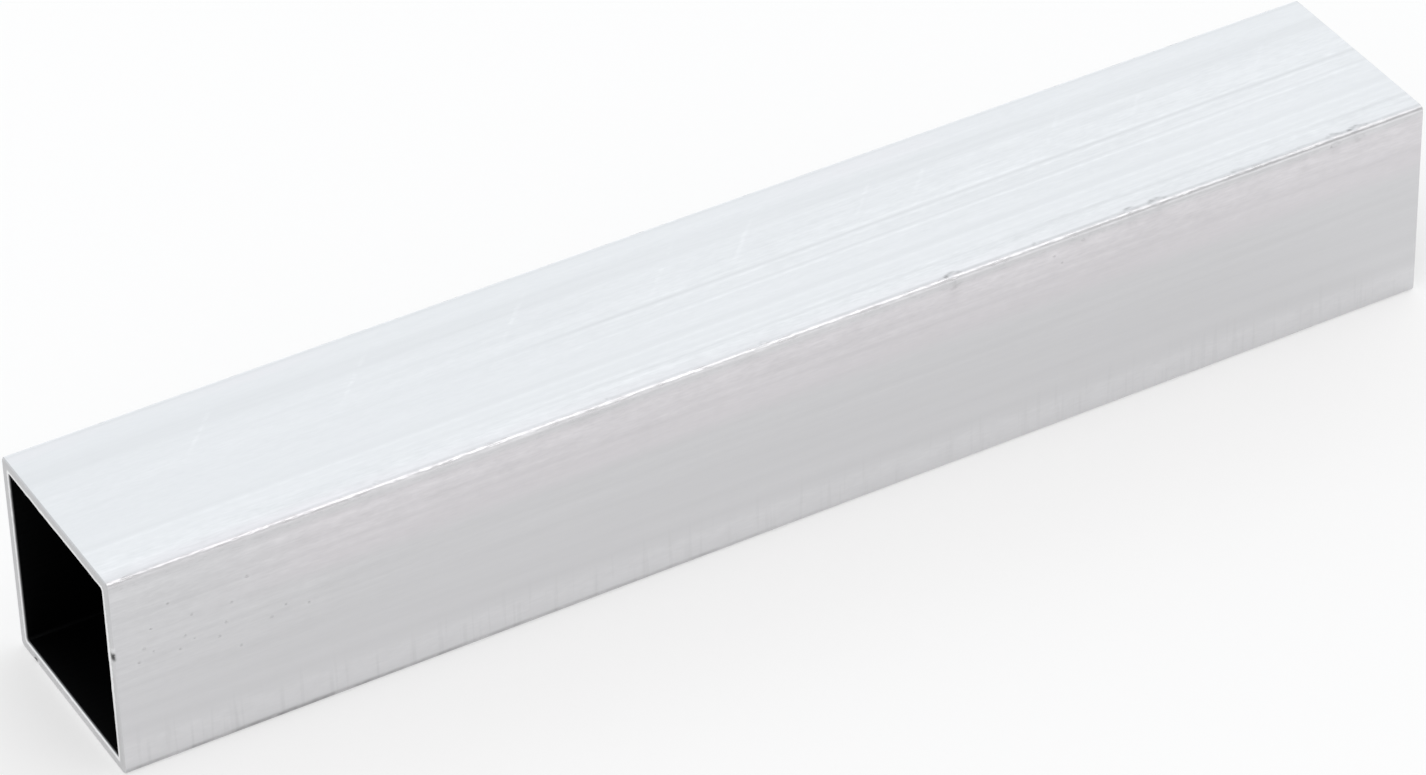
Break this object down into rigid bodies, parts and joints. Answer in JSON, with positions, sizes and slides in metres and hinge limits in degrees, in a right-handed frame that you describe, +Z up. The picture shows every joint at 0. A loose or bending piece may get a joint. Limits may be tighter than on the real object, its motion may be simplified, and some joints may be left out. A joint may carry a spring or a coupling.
{
  "type": "square aluminium tube",
  "caption": "Straight length of square metal tube, cut square at both ends, open right through with a thin even wall.",
  "frame": {"origin": "middle of the outside face that the tube lies on, halfway along its length", "axes": "+X along the tube towards one sawn end, +Y across it, +Z up out of the face opposite the one it lies on"},
  "size_m": [0.16, 0.025, 0.025],
  "materials": {
    "mill_finish_aluminium": "mill finish as extruded, satin, with fine die lines along the length"
  },
  "bodies": {
    "root": {"square_tube": "mill_finish_aluminium"}
  },
  "joints": []
}
